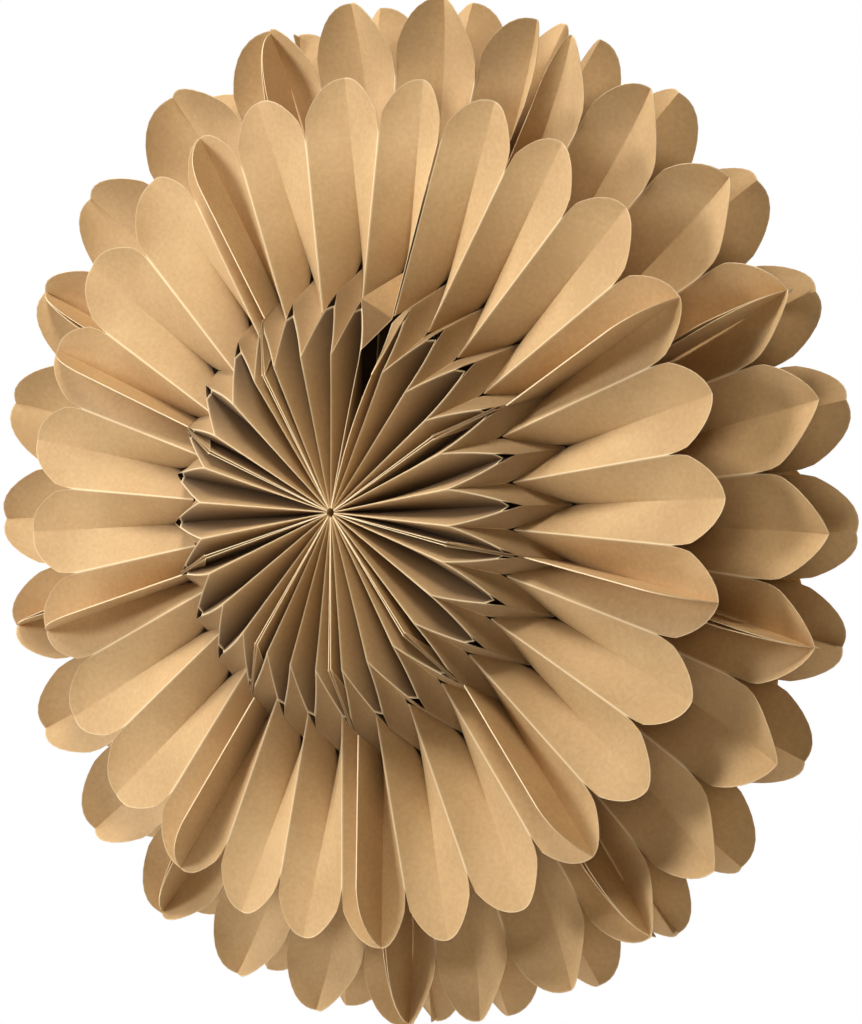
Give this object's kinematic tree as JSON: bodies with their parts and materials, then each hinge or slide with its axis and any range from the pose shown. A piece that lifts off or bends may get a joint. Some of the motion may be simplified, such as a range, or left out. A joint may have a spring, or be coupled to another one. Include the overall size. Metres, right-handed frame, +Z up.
{
  "type": "paper star",
  "caption": "Hanging star of pleated kraft paper with a raised rosette and two rings of rounded petals on each side.",
  "frame": {"origin": "middle of the star, on its axis halfway between the two rosettes", "axes": "-Y along the axis out of the front rosette, +Z up as it hangs, +X to the right seen from the front"},
  "size_m": [0.4499, 0.1148, 0.4488],
  "materials": {
    "kraft_paper": "matte"
  },
  "bodies": {
    "root": {"paper_segment_1": "kraft_paper", "paper_segment_2": "kraft_paper", "paper_segment_3": "kraft_paper", "paper_segment_4": "kraft_paper", "paper_segment_5": "kraft_paper", "paper_segment_6": "kraft_paper", "paper_segment_7": "kraft_paper", "paper_segment_8": "kraft_paper", "paper_segment_9": "kraft_paper"}
  },
  "joints": []
}
